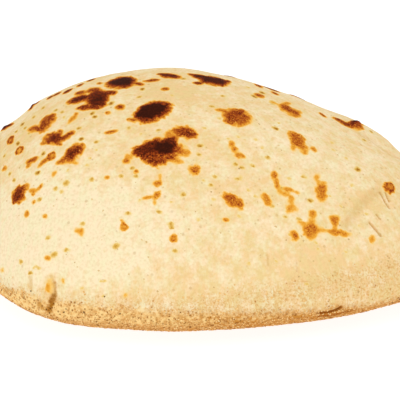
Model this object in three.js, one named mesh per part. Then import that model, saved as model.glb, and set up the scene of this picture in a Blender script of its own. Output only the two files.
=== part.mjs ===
// A puffed pita: one round flatbread blown up like a balloon, resting on its flattened underside.
//
// Millimetres, +Z up. The bread's front faces -Y, and its crown leans towards -X, so that end is
// the steep one. The origin is the middle of the bounding box, on the plane the bread rests on.
// The bread is one piece, so it is one mesh. Places on it are given by azimuth (degrees from +X
// towards +Y) and latitude (degrees, 0 on the rim, 90 on the crown, -90 under the middle).

import * as THREE from 'three';
import { mergeVertices } from 'three/addons/utils/BufferGeometryUtils.js';

// Plan: the rim seen from above, a circle made slightly oval and slightly egg-shaped.
const PLAN_RADIUS = 90.2;
const OVAL_SHARE = 0.084;         // how much of the radius the ends along X gain
const EGG_SHARE = 0.036;          // three-lobed part that makes one end blunter
const EGG_TURN = -8;              // azimuth of the first lobe

// The baker's pinch: a corner of the rim pulled out at the front left.
const PINCH_AZIMUTH = 227;
const PINCH_SPREAD = 12;          // degrees of azimuth
const PINCH_SHARE = 0.026;        // share of the radius pulled out
const PINCH_TOP = 50;             // latitude where the pull has died out

// Heights: the rim is the widest line, where the upper and the lower skin meet.
const RIM_HEIGHT = 15;
const RIM_TILT_SHARE = 0.136;      // the rim is higher at +X and lower at -X by this share
const DOME_RISE = 62.7;           // crown above the rim
const DOME_ROUND_SHARE = 0.4;     // part of the rise that swells like a ball and rounds the rim
const DOME_LEAN_POWER = 1.82;     // the rest climbs later, so the sides lean in
const CROWN_SHIFT = -26.3;        // how far the crown sits towards -X

// Underside: a shallow belly pressed flat by its own weight, lifted at the pinched end.
const BELLY_BELOW = 3.5;          // how far it would hang below the table
const BELLY_POWER = 2.3;
const LIFT_AZIMUTH = 205;
const LIFT_START = 80;            // distance from the middle where the edge leaves the table
const LIFT_SLOPE = 0.15;

// The point that every swelling is pushed away from.
const HEART = new THREE.Vector3(CROWN_SHIFT / 2, 0, 25);

// Broad swells and dents of the balloon: reach and rise in millimetres, a dent has a minus rise.
const SWELLS = [
  { name: 'steep end', azimuth: 178, latitude: 38, reach: 16, rise: 2.9 },
  { name: 'dent over the steep end', azimuth: 180, latitude: 53, reach: 7, rise: -1.3 },
  { name: 'bump behind the dent', azimuth: 163, latitude: 56, reach: 6, rise: 1.1 },
  { name: 'small bubble at the steep end', azimuth: 172, latitude: 46, reach: 4, rise: 2.6 },
  { name: 'slack behind the crown', azimuth: 115, latitude: 72, reach: 12, rise: -0.7 },
  { name: 'far shoulder', azimuth: 14, latitude: 41.5, reach: 14, rise: 2.3 },
  { name: 'valley in front of the far shoulder', azimuth: 0, latitude: 37, reach: 7, rise: -1.5 },
  { name: 'dip past the far shoulder', azimuth: 8, latitude: 30, reach: 7, rise: -3 },
  { name: 'rounded far end', azimuth: 358, latitude: 20, reach: 20, rise: 4.4 },
  { name: 'slack front edge', azimuth: 244, latitude: 0, reach: 13, rise: -1.5 },
  { name: 'flat cheek', azimuth: 310, latitude: 22, reach: 20, rise: -0.8 },
  { name: 'back shoulder', azimuth: 95, latitude: 40, reach: 22, rise: 1.2 },
  { name: 'back dent', azimuth: 62, latitude: 28, reach: 16, rise: -1.4 },
  { name: 'back corner', azimuth: 128, latitude: 18, reach: 15, rise: 1.0 },
];

// Blisters: small bubbles with a flat top, where the dough stood up and scorched.
const BLISTERS = [
  { azimuth: 5.6, latitude: 47, reach: 3.8, rise: 2.5 },
  { azimuth: 162, latitude: 84, reach: 6.5, rise: 0.5 },
  { azimuth: 214, latitude: 77, reach: 8, rise: 0.8 },
  { azimuth: 274, latitude: 72, reach: 7, rise: 1.0 },
  { azimuth: 272, latitude: 58, reach: 7, rise: 0.9 },
  { azimuth: 286, latitude: 63, reach: 4.5, rise: 0.6 },
  { azimuth: 207, latitude: 63, reach: 4.5, rise: 0.8 },
  { azimuth: 223, latitude: 60, reach: 4.5, rise: 0.7 },
  { azimuth: 234, latitude: 56, reach: 4.5, rise: 0.7 },
  { azimuth: 5, latitude: 76, reach: 6.5, rise: 0.4 },
  { azimuth: 321, latitude: 65, reach: 5.5, rise: 0.8 },
  { azimuth: 352, latitude: 61, reach: 5, rise: 0.8 },
  { azimuth: 328, latitude: 54, reach: 4.5, rise: 0.7 },
  { azimuth: 287, latitude: 41, reach: 4.5, rise: 0.7 },
  { azimuth: 221, latitude: 40, reach: 4, rise: 0.7 },
  { azimuth: 304, latitude: 30, reach: 4.5, rise: 0.5 },
  { azimuth: 315, latitude: 40, reach: 4.5, rise: 0.5 },
  { azimuth: 334, latitude: 35, reach: 4, rise: 0.8 },
  { azimuth: 40, latitude: 62, reach: 6.5, rise: 0.6 },
  { azimuth: 88, latitude: 58, reach: 7, rise: 0.9 },
  { azimuth: 122, latitude: 68, reach: 5.5, rise: 0.8 },
  { azimuth: 70, latitude: 44, reach: 5, rise: 0.8 },
  { azimuth: 138, latitude: 46, reach: 5.5, rise: 0.8 },
  { azimuth: 104, latitude: 32, reach: 4.5, rise: 0.6 },
  { azimuth: 32, latitude: 34, reach: 4.5, rise: 0.6 },
];

// Slow waves over the whole skin: wavelength and rise in millimetres, direction and phase in degrees.
const WAVES = [
  { wavelength: 62, azimuth: 20, latitude: 10, rise: 0.20, phase: 40 },
  { wavelength: 47, azimuth: 105, latitude: -20, rise: 0.20, phase: 150 },
  { wavelength: 38, azimuth: 160, latitude: 35, rise: 0.16, phase: 260 },
  { wavelength: 29, azimuth: 65, latitude: 50, rise: 0.12, phase: 10 },
];

// The crease pressed in above the pinch, running down the front skin to the rim.
const CREASE_AZIMUTH = 233.5;
const CREASE_TOP = 17;            // latitude
const CREASE_BOTTOM = 0;
const CREASE_HALF_WIDTH = 2.6;
const CREASE_DEPTH = 1.8;

// Fineness of the skin: each side of the twenty starting triangles is cut into this many.
const SKIN_CUTS = 24;

const radians = THREE.MathUtils.degToRad;
const degrees = THREE.MathUtils.radToDeg;

// Turns a plan angle into -180 to 180 degrees from a given azimuth.
function turnFrom(azimuth, angle) {
  return THREE.MathUtils.euclideanModulo(degrees(angle) - azimuth + 180, 360) - 180;
}

// A unit vector from an azimuth and a latitude in degrees.
function direction(azimuth, latitude) {
  const polar = radians(90 - latitude);
  const plan = radians(azimuth);
  return new THREE.Vector3(
    Math.sin(polar) * Math.cos(plan),
    Math.sin(polar) * Math.sin(plan),
    Math.cos(polar),
  );
}

// How far the rim is from the middle at a plan angle, and how much of the pinch is felt.
function planRadius(angle, pinch) {
  const oval = OVAL_SHARE * Math.cos(2 * angle);
  const egg = EGG_SHARE * Math.cos(3 * (angle - radians(EGG_TURN)));
  const corner = PINCH_SHARE * pinch * Math.exp(-((turnFrom(PINCH_AZIMUTH, angle) / PINCH_SPREAD) ** 2));
  return PLAN_RADIUS * (1 + oval + egg) * (1 + corner);
}

// The level that the skin rises or falls from: the tilted rim's, evening out towards the crown.
function rimHeight(angle, latitude) {
  return RIM_HEIGHT * (1 + RIM_TILT_SHARE * Math.cos(angle) * Math.cos(latitude));
}

// The upper skin: a dome whose crown has slid towards -X.
function upperSkin(angle, latitude) {
  const sine = Math.sin(latitude);
  const climb = DOME_ROUND_SHARE * sine + (1 - DOME_ROUND_SHARE) * sine ** DOME_LEAN_POWER;
  const pinch = THREE.MathUtils.clamp(1 - degrees(latitude) / PINCH_TOP, 0, 1);
  const reach = planRadius(angle, pinch) * Math.cos(latitude);
  return new THREE.Vector3(
    reach * Math.cos(angle) + CROWN_SHIFT * climb,
    reach * Math.sin(angle),
    rimHeight(angle, latitude) + DOME_RISE * climb,
  );
}

// The lower skin: a belly that the table and the lifted end hold up.
function lowerSkin(angle, latitude) {
  const fall = Math.sin(-latitude) ** (2 / BELLY_POWER);
  const reach = planRadius(angle, 1) * Math.cos(latitude) ** (2 / BELLY_POWER);
  const x = reach * Math.cos(angle);
  const y = reach * Math.sin(angle);
  const rim = rimHeight(angle, latitude);
  const lift = radians(LIFT_AZIMUTH);
  const beyond = x * Math.cos(lift) + y * Math.sin(lift) - LIFT_START;
  const floor = LIFT_SLOPE * Math.max(beyond, 0);
  return new THREE.Vector3(x, y, Math.max(rim - (rim + BELLY_BELOW) * fall, floor));
}

// The smooth balloon, before swells, blisters and creases.
function skinPoint(way) {
  const angle = Math.atan2(way.y, way.x);
  const latitude = Math.asin(THREE.MathUtils.clamp(way.z, -1, 1));
  return latitude >= 0 ? upperSkin(angle, latitude) : lowerSkin(angle, latitude);
}

// A spot on the skin with its centre worked out once.
function placed(spot) {
  return { ...spot, centre: skinPoint(direction(spot.azimuth, spot.latitude)) };
}

const placedSwells = SWELLS.map(placed);
const placedBlisters = BLISTERS.map(placed);

// A swell fades as a bell. A blister stays level in the middle and drops at its edge.
const SWELL_POWER = 2;
const BLISTER_POWER = 3;

function spotRelief(point, spot, power) {
  const distance = point.distanceTo(spot.centre);
  return spot.rise * Math.exp(-((distance / spot.reach) ** power));
}

function waveRelief(point, wave) {
  const along = point.dot(direction(wave.azimuth, wave.latitude));
  return wave.rise * Math.sin((2 * Math.PI * along) / wave.wavelength + radians(wave.phase));
}

function creaseRelief(way) {
  const angle = Math.atan2(way.y, way.x);
  const latitude = degrees(Math.asin(THREE.MathUtils.clamp(way.z, -1, 1)));
  const sideways = radians(turnFrom(CREASE_AZIMUTH, angle)) * PLAN_RADIUS;
  const past = Math.max(latitude - CREASE_TOP, CREASE_BOTTOM - latitude, 0);
  const lengthways = radians(past) * PLAN_RADIUS;
  const away = Math.hypot(sideways, lengthways) / CREASE_HALF_WIDTH;
  return -CREASE_DEPTH * Math.exp(-(away ** 2));
}

// How far the real skin stands out from the smooth balloon at a point.
function relief(way, point) {
  let height = creaseRelief(way);
  for (const swell of placedSwells) height += spotRelief(point, swell, SWELL_POWER);
  for (const blister of placedBlisters) height += spotRelief(point, blister, BLISTER_POWER);
  for (const wave of WAVES) height += waveRelief(point, wave);
  return height;
}

// The finished skin, kept above the table.
function breadPoint(way) {
  const point = skinPoint(way);
  const outward = point.clone().sub(HEART).normalize();
  point.addScaledVector(outward, relief(way, point));
  point.z = Math.max(point.z, 0);
  return point;
}

// A ball of near-even triangles with its shared corners merged.
function evenBall() {
  const ball = new THREE.IcosahedronGeometry(1, SKIN_CUTS - 1);
  ball.deleteAttribute('normal');
  ball.deleteAttribute('uv');
  return mergeVertices(ball);
}

function breadGeometry() {
  const geometry = evenBall();
  const corners = geometry.getAttribute('position');
  const way = new THREE.Vector3();
  for (let i = 0; i < corners.count; i += 1) {
    way.fromBufferAttribute(corners, i).normalize();
    const point = breadPoint(way);
    corners.setXYZ(i, point.x, point.y, point.z);
  }
  geometry.computeBoundingBox();
  const middle = geometry.boundingBox.getCenter(new THREE.Vector3());
  geometry.translate(-middle.x, -middle.y, 0);
  geometry.computeVertexNormals();
  return geometry;
}

function crustMaterial() {
  return new THREE.MeshStandardMaterial({ color: 0xf2dfb6, roughness: 0.85, metalness: 0 });
}

function bread() {
  const mesh = new THREE.Mesh(breadGeometry(), crustMaterial());
  mesh.name = 'pita_bread';
  return mesh;
}

const pita = new THREE.Group();
pita.add(bread());

export default pita;
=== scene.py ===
"""A pocket pita, puffed up and scorched on a hearth: its crust, the grit in its base, and its table."""

import math
import random
from collections import namedtuple

import bmesh
import bpy
import numpy as np
from bpy.props import FloatProperty, FloatVectorProperty, IntProperty, PointerProperty
from mathutils import Color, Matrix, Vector, noise
from mathutils.bvhtree import BVHTree
from mathutils.kdtree import KDTree


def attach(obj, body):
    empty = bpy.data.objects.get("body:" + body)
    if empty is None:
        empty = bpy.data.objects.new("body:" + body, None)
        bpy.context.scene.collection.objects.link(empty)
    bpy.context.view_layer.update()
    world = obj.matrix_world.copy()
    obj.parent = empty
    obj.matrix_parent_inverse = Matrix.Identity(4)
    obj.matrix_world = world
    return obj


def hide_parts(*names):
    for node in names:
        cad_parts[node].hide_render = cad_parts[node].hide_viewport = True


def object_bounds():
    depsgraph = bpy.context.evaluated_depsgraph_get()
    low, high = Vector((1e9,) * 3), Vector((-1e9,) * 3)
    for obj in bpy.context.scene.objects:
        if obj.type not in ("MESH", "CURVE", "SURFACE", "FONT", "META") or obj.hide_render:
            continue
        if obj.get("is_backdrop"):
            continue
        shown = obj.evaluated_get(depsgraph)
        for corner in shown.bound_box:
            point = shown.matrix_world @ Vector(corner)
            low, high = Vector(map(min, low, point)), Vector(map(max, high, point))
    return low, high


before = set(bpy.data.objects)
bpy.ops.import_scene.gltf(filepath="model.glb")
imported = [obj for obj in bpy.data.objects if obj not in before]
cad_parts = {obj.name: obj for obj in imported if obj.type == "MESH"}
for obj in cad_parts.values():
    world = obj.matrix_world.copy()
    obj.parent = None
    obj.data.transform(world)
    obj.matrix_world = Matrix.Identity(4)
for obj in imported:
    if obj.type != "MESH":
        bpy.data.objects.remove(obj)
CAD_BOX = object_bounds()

bl_info = {
    "name": "Puffed Pita",
    "version": (1, 0, 0),
    "blender": (4, 5, 0),
    "location": "3D View > Sidebar > Pita",
    "description": "Bakes a puffed pita with its scorch marks, grit and bran flecks",
    "category": "Object",
}

BODY = "root"
LOAF = "pita_bread"
MM = 0.001

# The camera: where it stands, what it looks at, and its square frame.
FRAME_SIDE = 400
FRAME_MIDDLE = FRAME_SIDE / 2
LENS = 150.0
SENSOR = 36.0
FOCAL = LENS / SENSOR * FRAME_SIDE
ELEVATION = math.radians(20.05)
DISTANCE = 0.650
TARGET = Vector((-0.0100, 0.0, 0.0270))
LOOK = Vector((0.0, math.cos(ELEVATION), -math.sin(ELEVATION)))
RIGHT = Vector((1.0, 0.0, 0.0))
UP = Vector((0.0, math.sin(ELEVATION), math.cos(ELEVATION)))
CAMERA_PLACE = TARGET - LOOK * DISTANCE

# The middle of the bread, from which azimuth and latitude are counted.
HEART = Vector((-0.013, 0.0, 0.025))

# The large soft light: where it stands, its width and its height.
KEY_PLACE = Vector((0.0, -0.80, 1.35))
KEY_SIZE = (1.3, 1.0)
WHITE = (1.0, 1.0, 1.0, 1.0)

# Scorch marks on the side that faces the camera. Each says where the mark lies in the camera's frame (x, y),
# its width and height across the line of sight in mm, its tilt in degrees, and in percent how burnt it is
# and, where its middle is paler than its edge, how hollow.
CROWN_MARKS = (
    (121, 82.4, 12.8, 5.5, 5, 78), (121, 82, 11.2, 4.7, 5, 100), (139, 84, 4.4, 1.7, -8, 62),
    (97.5, 97.5, 9.2, 7.4, 10, 80), (98, 99, 6.6, 5.4, 10, 90), (98.5, 103.5, 6.4, 4.6, 0, 86),
    (94, 90.3, 6.6, 3, 5, 66), (107, 93.4, 8, 2.7, 8, 76), (79, 99.3, 10, 3.4, 14, 88),
    (80.5, 93, 5.2, 2, 10, 62), (88, 107.3, 9.8, 2.6, 4, 76), (152.4, 110.6, 15.6, 8.1, 21, 74),
    (151.7, 110.5, 13.4, 6.9, 20, 100), (166, 104, 4, 3.6, 0, 22), (132.5, 120, 4.6, 1.7, -6, 52),
    (149, 121, 3, 1.6, 0, 64), (161, 74.3, 3.4, 1, 0, 80), (170, 76, 9, 2.4, -6, 86),
    (214, 80.5, 12.6, 4.1, -9, 93), (202, 77.3, 9, 2.4, -12, 92), (227, 81.5, 3.2, 1.7, 0, 78),
    (192, 74.8, 3.4, 1.1, -10, 66), (198, 83, 3.7, 1.6, -5, 90), (222, 86, 1.5, 1, 0, 56),
    (152.5, 80.4, 5.6, 1.5, 5, 66), (145, 81, 2.4, 0.9, 0, 40), (165, 89, 3.4, 1.6, 0, 66),
    (120.3, 107.3, 3.9, 2.5, 5, 64), (107.5, 112.9, 2.7, 1.8, 0, 52), (111, 132, 4.9, 1.7, 12, 54),
    (67.5, 91.1, 4.2, 1.4, 30, 86), (57, 94, 3.6, 1, 27, 80), (80, 85, 3, 1.2, 28, 78),
    (99.5, 83.3, 2.2, 1.3, 0, 62), (91, 80, 3.4, 1, 18, 96), (50, 97.5, 2.8, 1.1, 27, 90),
    (32.8, 104.2, 5.4, 1.4, 44, 96), (5.5, 125, 6, 1.7, 22, 96), (271, 89, 7.2, 1.1, -22, 95),
    (259, 95.5, 4.8, 2.1, -15, 56), (258.5, 85.8, 3.6, 1.2, -28, 74), (275, 93.3, 3.2, 1.2, -28, 70),
)

LEFT_MARKS = (
    (46.5, 122, 9, 4.6, 50, 64), (51, 115.7, 2.6, 2.2, 0, 30), (53.8, 119, 2, 3.2, -30, 42),
    (33.8, 129, 6, 2.9, 5, 58), (41, 129, 4.6, 2.4, 10, 64), (54.5, 138, 8, 5.4, 10, 66),
    (55, 138, 5.4, 4.2, 0, 84), (67.5, 135.5, 6.4, 2.6, 32, 68), (47, 139.5, 4, 3.2, 0, 62),
    (60, 131.5, 2.6, 2, 0, 56), (43.5, 143.3, 3, 1.5, 0, 50), (59.5, 144.6, 2.8, 1.5, 0, 48),
    (73, 152.3, 9.6, 5.4, 46, 60), (73, 152.5, 6.8, 3.6, 46, 82), (62, 161, 4.8, 2.4, 22, 50),
    (83.2, 147, 2.4, 1.8, 0, 34), (75, 163, 2.8, 1.7, 0, 31), (72.5, 118.8, 6, 2.3, 45, 36),
    (76.3, 114, 1.8, 1.6, 0, 52), (32, 160.5, 5.4, 2.8, 22, 60), (37.5, 158, 2.4, 2, 0, 24),
    (28.5, 165.5, 3, 1.6, 40, 46), (52, 156, 3.7, 3, 40, 66, 50), (44, 162, 5.8, 1.9, 38, 50),
    (10.6, 140, 3.9, 3, 50, 80, 40), (19.4, 150.6, 3.9, 2.8, 45, 66, 55), (4.4, 169, 2.6, 2, 45, 44),
    (54.4, 173.5, 3.2, 2, 50, 34), (19, 194, 7.8, 4.8, 58, 78), (27, 185.5, 2.4, 2.2, 0, 42),
    (22, 199, 3.4, 2, 20, 44), (33, 191, 4.4, 2.3, 0, 38), (40, 187, 3.4, 1.6, 50, 48),
    (33, 194, 1.8, 1.5, 0, 44), (34, 202, 2.2, 1.7, 45, 48), (27, 214, 2.8, 2, 60, 44),
    (45, 216, 2.4, 2.2, 0, 44), (78, 231, 3.4, 3.2, 0, 40), (81.5, 232, 2.2, 3.8, 0, 36),
    (48, 258, 3, 2.4, 0, 42), (63.2, 281, 1.6, 3.2, 8, 30), (107, 178, 2.3, 1.8, 0, 46),
    (2, 270, 2.4, 2.6, 0, 25), (47.6, 288, 2, 3.8, 8, 29), (50.8, 286.5, 3.2, 7.6, 6, 17),
)

MIDDLE_MARKS = (
    (185, 132.2, 10.4, 5.4, -12, 58), (186, 133.4, 8, 3.4, -10, 70), (168.3, 135.4, 3.6, 4.4, -30, 37),
    (165, 146.5, 11, 7, 5, 84), (164, 147, 9.4, 5.4, 5, 100), (152, 147, 8.6, 5.8, 10, 84),
    (141, 151.5, 7.4, 5.2, -10, 84), (156.5, 159, 8.8, 6.2, 5, 70), (148, 156, 7, 5, 0, 70),
    (171.5, 142, 6, 4.4, 0, 72), (157, 141, 5.2, 3.4, 0, 62), (129, 157, 3.8, 2.4, -20, 32),
    (126.3, 161.3, 3, 2.4, 0, 48), (184.5, 152.5, 5.4, 5, 0, 35), (177.5, 161, 5.6, 3.2, 0, 34),
    (169.5, 157.5, 7.2, 3.8, 15, 68), (179, 150, 4.2, 6.2, 0, 48), (158, 183, 4.2, 2.8, 15, 44),
    (160, 177.5, 2.2, 3.2, 0, 32), (157.5, 194.8, 4.4, 2.6, 50, 46), (147, 197.5, 4, 1.7, 10, 38),
    (154.8, 202.6, 1.8, 2.2, 0, 28), (136, 172, 2.2, 1.9, 0, 46), (194.4, 170, 5, 4, 0, 44),
    (194.2, 170.5, 2.8, 2.2, 0, 48), (233, 200.5, 9.6, 4.9, -36, 46), (230.5, 199.5, 4.6, 2.8, -30, 47),
    (240.5, 204, 3, 2.8, 0, 50), (226, 220, 2.4, 1.7, 0, 46), (174, 238, 3.3, 3.2, 0, 50, 30),
    (124, 227, 3.3, 2.9, 0, 54, 40), (122, 221, 2.2, 1.3, -45, 31), (232, 144, 2.9, 3.6, 0, 42),
    (234.5, 149.8, 3.4, 3.2, -60, 44), (238.5, 155, 3.4, 3, 0, 44), (243, 156.5, 2.2, 1.6, 0, 44),
    (236.5, 117, 11, 7, -8, 56), (238.5, 112.7, 6, 3.4, 0, 70), (231, 119.5, 5.6, 3.4, 5, 60),
    (249, 118, 3.6, 5.4, 0, 26), (243, 124, 5, 2.2, 10, 34), (221.5, 110.3, 5.6, 1.8, -8, 40),
    (228.5, 114.5, 4, 2.6, 0, 38), (125.3, 295.5, 1.9, 2.5, 0, 26),
)

RIGHT_MARKS = (
    (285, 107.5, 5.6, 3.4, -20, 56), (292, 111.5, 7.8, 3.6, -25, 58), (287, 103.3, 3.8, 1.8, 0, 40),
    (298, 112.5, 3.6, 2.7, 0, 40), (274, 102.7, 3.4, 0.9, -20, 34), (295, 116, 2.4, 1.5, 0, 34),
    (297, 139, 7.6, 5.6, -45, 50), (303, 147, 4.8, 4, -40, 42), (291, 135, 3, 3.8, 0, 36),
    (305, 153, 2.2, 1.8, 0, 36), (293, 146, 2.4, 4.6, 0, 34), (313.5, 149, 3.4, 2.2, -40, 40),
    (322.8, 115, 3.4, 1.3, -35, 70), (355, 125.4, 8.2, 3.8, -6, 56), (356.5, 122.6, 6.2, 1.7, -4, 100),
    (350, 125.4, 5.4, 2.6, -14, 62), (358, 129, 4.2, 1.8, -12, 20), (341, 121.6, 7.4, 2, -33, 70),
    (334, 118.6, 2.8, 0.9, -30, 30), (389.3, 187.6, 5.2, 4.5, -40, 74, 46),
    (274.8, 175.2, 3.7, 3.5, 0, 48), (276.9, 183, 2.3, 5.2, 8, 42), (282, 192.5, 4.6, 3, -40, 28),
    (288.5, 189.5, 5.4, 2.5, -8, 38), (287, 194, 5, 3, -20, 25), (297, 192.3, 2.8, 1.6, -20, 30),
    (291, 200, 3.2, 5.6, 8, 30), (291, 208.5, 4.8, 3.8, 0, 34), (296.5, 209.5, 2.6, 2, 0, 22),
    (266.5, 199.3, 5.5, 3.8, -60, 42), (295, 236, 5.1, 3.4, -70, 46), (313, 214, 3.3, 4.4, 0, 40),
    (311.5, 222, 3.6, 3.6, 0, 31), (310, 231, 6.8, 6.4, 0, 37), (309, 230, 4.2, 4.2, 0, 40),
    (302.5, 223.5, 4.2, 2.6, -30, 34), (320, 230, 4.8, 2.5, 0, 30), (334.4, 219.4, 4.4, 3.8, 0, 44),
    (335, 226.4, 2.3, 3.2, 0, 38), (336.5, 232.3, 7, 2.8, -4, 42), (344.5, 233.5, 4.8, 3.1, -5, 40),
    (328, 231, 4, 2, 0, 24), (317, 177.5, 3.3, 3.1, 0, 32), (318.5, 183, 2.8, 3.6, 0, 28),
    (321, 191, 5.4, 7.2, -10, 39), (321, 188.5, 3.4, 3.8, 0, 40), (322, 199.5, 4.4, 2.8, 0, 30),
    (371.9, 240, 3, 4, 0, 34),
)

# Small golden-brown spots on the same side: for each list one size in mm, how deep their colour is in
# percent, and their places in the camera's frame.
SPOTS = (
    (2.3, 66, (
        (116, 246), (54, 254.5), (273, 102.7), (66, 183),
    )),
    (1.6, 100, (
        (22.3, 124.4), (18, 143.5), (95, 117), (262, 92.5), (142.5, 89), (111, 103.5), (91.9, 113.5),
        (38, 172.8), (43, 154.4), (276.3, 128.8), (310, 200.6), (81.3, 139), (200, 145.9), (358, 169.5),
        (281.5, 188), (254.7, 96.3), (255.3, 97),
    )),
    (1.4, 72, (
        (129, 127.5), (158, 130.3), (96, 142), (198.8, 154.6), (25, 128), (34, 117), (43, 108), (56, 110.6),
        (62.2, 112.3), (56, 188), (92, 179), (14, 180), (10, 174), (128, 213), (253, 166), (268, 157),
        (21, 262), (48, 238), (66, 250), (300, 219.5), (215, 176.5), (211, 185), (238, 179), (159, 212),
        (175, 251), (132, 168), (136, 175.5), (139, 97), (30, 273), (183, 195), (236, 164), (241, 167.5),
        (78.5, 128.3), (121, 176), (4.4, 156), (29, 133), (272, 205.6), (285.6, 217), (290.4, 234.8),
        (303.5, 177), (211.5, 106.2), (222.5, 96), (364.4, 140), (181, 78.4), (184, 78.8), (371.3, 131.9),
        (337.5, 217), (40, 199.5), (16.5, 131.5), (170.5, 223.5), (171.5, 228), (83, 223.5),
    )),
    (1.2, 42, (
        (60, 234), (61, 192), (64, 117), (279, 149), (332, 143), (203, 180.5), (198, 220), (171, 202),
        (214, 199), (289, 178), (241, 177), (82, 288), (249, 263), (101.5, 281.4), (104.5, 280.8),
        (171.9, 95.4), (307, 284), (239, 216), (34, 268), (36.5, 266.5), (38.5, 268.5), (185, 146),
        (141, 134), (248, 87.3), (279, 123), (220.3, 118.8), (228, 139), (238, 137), (140, 200), (106, 159),
        (150, 190), (303, 175), (276, 261), (316, 243), (318, 249), (346, 252), (103, 296), (133, 158),
        (90, 158), (96, 150), (60, 163), (68, 170), (80, 170), (87, 165), (205, 128), (256, 140), (262, 148),
        (330, 196), (341, 206), (352, 186), (366, 214), (359, 226), (326, 208.5), (333, 150), (346, 158),
        (248, 190), (255, 196),
    )),
)

# A spot's width and height as shares of its size, and how many degrees it leans at the left of the camera's
# frame. At the right it leans as far the other way.
SPOT_WIDE = 1.3
SPOT_TALL = 0.85
SPOT_TILT = 45

# Charred crumbs near the base: places in the camera's frame, and their size in mm.
CHAR_CRUMBS = (
    (31, 291), (96.3, 321.7), (57.5, 319), (392, 302.5), (64, 312), (84, 312), (66, 309), (104.5, 296.5),
    (46.5, 309.5), (50.5, 308.5), (42.5, 306), (54, 303.5), (49.5, 313), (112, 320), (91, 316),
    (120, 314),
)
CRUMB_SIZE = 0.48

# Creases, cracks and wrinkles: points in the camera's frame, half width and depth in mm, and how dark. The
# darkening is painted shade in wrinkles, folds and cracks, and the toasted brown of the crease and flat
# strips.
FURROWS = (
    (((50.8, 276), (52.8, 279.5), (54.4, 283.5)), 0.6, 0.3, 0.16),
    (((54.2, 283), (55, 288), (54.4, 293), (53, 298)), 0.75, 0.3, 0.5),
    (((53.6, 295), (52.4, 300), (50.8, 305), (48.6, 310.5)), 1.25, 0.45, 0.96),
    (((39.2, 304.5), (42.5, 308), (47, 310.8)), 1.3, 0.25, 0.56),
    (((320.5, 313.2), (326, 312.6), (332, 311.8), (337.5, 309.8), (340.8, 307.6)), 0.85, 0.35, 1.0),
    (((330, 312), (334.5, 311)), 0.7, 0.2, 1.0),
    (((337.5, 309.8), (340.8, 307.6)), 0.85, 0.1, 1.0),
    (((319, 315.8), (327, 315.6), (335, 314.4), (344, 312.4), (352, 310.6)), 1.3, 0.0, 0.52),
    (((380.6, 192), (383, 197), (386, 203), (389.6, 208)), 0.45, 0.6, 0.44),
    (((385.5, 192), (387.5, 197), (389, 201)), 0.5, 0.5, 0.44),
    (((370, 222.5), (375, 228.5), (381, 235.6)), 0.55, 0.6, 0.42),
    (((377, 214.5), (379, 217.5), (380.5, 219)), 0.5, 0.35, 0.36),
    (((377, 190), (366, 200), (354, 212), (346, 226)), 2.2, 0.3, 0.12),
    (((362, 134), (371, 139), (381, 147), (390, 153.5), (399, 158)), 2.4, 0.7, 0.12),
    (((30, 278), (30.5, 283), (30.8, 288)), 1.1, 0.15, 0.14),
    (((267.6, 255), (268, 265)), 0.45, 0.15, 0.16),
    (((296.6, 261), (297, 271)), 0.45, 0.15, 0.16),
    (((4, 290.2), (12.5, 291.2)), 1.3, 0.0, 0.36),
)

# Small bubbles without a burn of their own: places in the camera's frame, width and height in mm across the
# line of sight, and rise in mm.
BUBBLES = (
    (356.5, 124, 6.4, 3.8, 1), (384, 141, 9, 4, 0.5), (389, 188, 6.4, 5.2, 0.5), (33, 105, 4, 2.2, 0.5),
    (5, 125.5, 5, 2, 0.4), (50, 287, 3, 8, 0.35),
)

# Broad tints of the dough: places in the camera's frame, width and height in mm on the skin, and how much
# warmer the dough is there, or paler with a minus. Three warm ones along the soft fold at the right are
# painted fold shadow.
TINTS = (
    (78, 232, 84, 46, -0.58), (12, 236, 52, 50, -0.9), (56, 148, 20, 14, 0.24), (18, 146, 22, 16, 0.26),
    (350, 262, 40, 18, 0.6), (280, 240, 30, 20, 0.14), (116, 264, 36, 24, -0.32),
    (98, 205, 34, 28, -0.36), (32, 128, 56, 26, 0.18), (72, 112, 30, 22, 0.12), (158, 150, 54, 30, 0.26),
    (204, 186, 22, 16, 0.26), (120, 88, 110, 30, 0.24), (96, 141, 22, 18, -0.3), (230, 92, 120, 22, 0.1),
    (248, 268, 58, 20, 0.26), (278, 180, 16, 14, 0.18), (320, 186, 30, 18, -0.1),
    # The last three tints on the next line, along the soft fold at the right, are painted fold shadow.
    (306, 206, 26, 12, -0.1), (374, 194, 9, 8, 0.4), (366, 202, 9, 8, 0.44), (356, 211, 9, 9, 0.36),
    (378, 262, 26, 20, 0.26), (355, 250, 16, 10, -0.16), (398, 190, 14, 30, 0.24), (392, 160, 18, 8, 0.3),
    (180, 296, 100, 10, 0.3), (330, 290, 90, 16, 0.22), (372, 291, 34, 12, 0.5), (175, 95, 26, 14, 0.46),
    (205, 102, 26, 16, 0.22), (338, 158, 26, 16, -0.24), (85, 292, 26, 12, 0.28), (25, 292, 40, 12, 0.26),
    (49, 286, 4, 9, 0.9), (29, 283, 3, 8, 0.5),
)

# Height of the toasted base's upper edge, and of the pebbly skin's, in mm, how softly the edge fades in mm,
# and how deeply the base is toasted, by azimuth. The middle of the underside has a depth of its own.
TOAST_EDGE = (
    (0, 13), (60, 15), (130, 14.5), (190, 13.5), (218, 14), (227, 16.2), (250, 16.8), (275, 15.8),
    (300, 13.6), (316, 11.8), (360, 13),
)
TOAST_FADE = (
    (0, 5), (60, 4.5), (180, 4.5), (218, 4.2), (240, 3.8), (262, 4.2), (290, 5.5), (330, 6), (360, 5),
)
TOAST_DEPTH = (
    (0, 0.5), (190, 0.2), (218, -0.22), (230, -0.04), (250, 0.24), (275, 0.6), (300, 0.94), (330, 0.8),
    (360, 0.5),
)
MIDDLE_DEPTH = 0.4
PEBBLE_EDGE = (
    (0, 22), (60, 20), (130, 18), (190, 17), (240, 19), (265, 21), (285, 23), (305, 26), (330, 27), (360, 22),
)

Mark = namedtuple("Mark", "seat wide tall tilt burn hollow")
Seat = namedtuple("Seat", "point normal along up across slant rise")

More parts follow.
